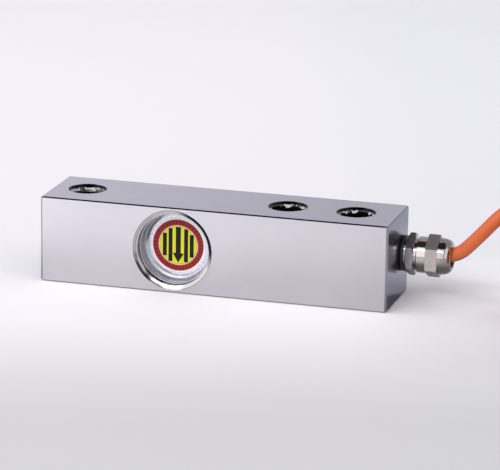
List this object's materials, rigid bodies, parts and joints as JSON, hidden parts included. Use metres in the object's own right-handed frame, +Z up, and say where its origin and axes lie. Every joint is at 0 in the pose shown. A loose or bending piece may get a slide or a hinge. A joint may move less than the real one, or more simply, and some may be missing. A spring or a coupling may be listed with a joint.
{
  "type": "single ended shear beam load cell",
  "caption": "Square steel shear beam load cell with a tapped load hole, two mounting holes, sealed side pockets, a domed cable gland and a shielded cable.",
  "frame": {"origin": "centre of the bar's underside", "axes": "+X along the bar to its cable end, +Z up, -Y to the side whose pocket carries the label"},
  "size_m": [0.373, 0.0485, 0.0444],
  "materials": {
    "plated_steel": "nickel-plated alloy steel, satin",
    "cup_steel": "drawn stainless sheet, satin",
    "plated_brass": "nickel-plated brass, polished",
    "label_film": "printed film",
    "gauge_film": "polyimide film with foil grids",
    "board_laminate": "glass-filled laminate",
    "chip_ceramic": "glazed chip",
    "bare_copper": "tinned copper wire",
    "jumper_insulation": "thin insulation",
    "seal_rubber": "black rubber",
    "insert_plastic": "black moulded plastic",
    "cable_jacket": "satin jacket",
    "tie_plastic": "black moulded strap",
    "sleeve_film": "shrunk sleeve",
    "solder_tin": "tinned wire end",
    "green_insulation": "thin insulation",
    "white_insulation": "thin insulation",
    "black_insulation": "thin insulation",
    "red_insulation": "thin insulation"
  },
  "bodies": {
    "root": {"beam_body": "plated_steel", "cable_hank": "cable_jacket", "cable_run": "cable_jacket", "clamp_insert": "insert_plastic", "core_black": "black_insulation", "core_green": "green_insulation", "core_red": "red_insulation", "core_white": "white_insulation", "dome_nut": "plated_brass", "end_sleeve": "sleeve_film", "front_gauge_leads": "bare_copper", "front_hank_tie": "tie_plastic", "front_sealing_cup": "cup_steel", "front_strain_gauge": "gauge_film", "front_terminal_board": "board_laminate", "gland_body": "plated_brass", "gland_o_ring": "seal_rubber", "jumper_wire_1": "jumper_insulation", "jumper_wire_2": "jumper_insulation", "jumper_wire_3": "jumper_insulation", "label_disc": "label_film", "lead_black": "black_insulation", "lead_green": "green_insulation", "lead_red": "red_insulation", "lead_shield": "bare_copper", "lead_white": "white_insulation", "rear_gauge_leads": "bare_copper", "rear_hank_tie": "tie_plastic", "rear_sealing_cup": "cup_steel", "rear_strain_gauge": "gauge_film", "rear_terminal_board": "board_laminate", "seal_grommet": "seal_rubber", "span_resistor": "chip_ceramic", "tip_black": "solder_tin", "tip_green": "solder_tin", "tip_red": "solder_tin", "tip_shield": "solder_tin", "tip_white": "solder_tin", "zero_resistor": "chip_ceramic"}
  },
  "joints": []
}
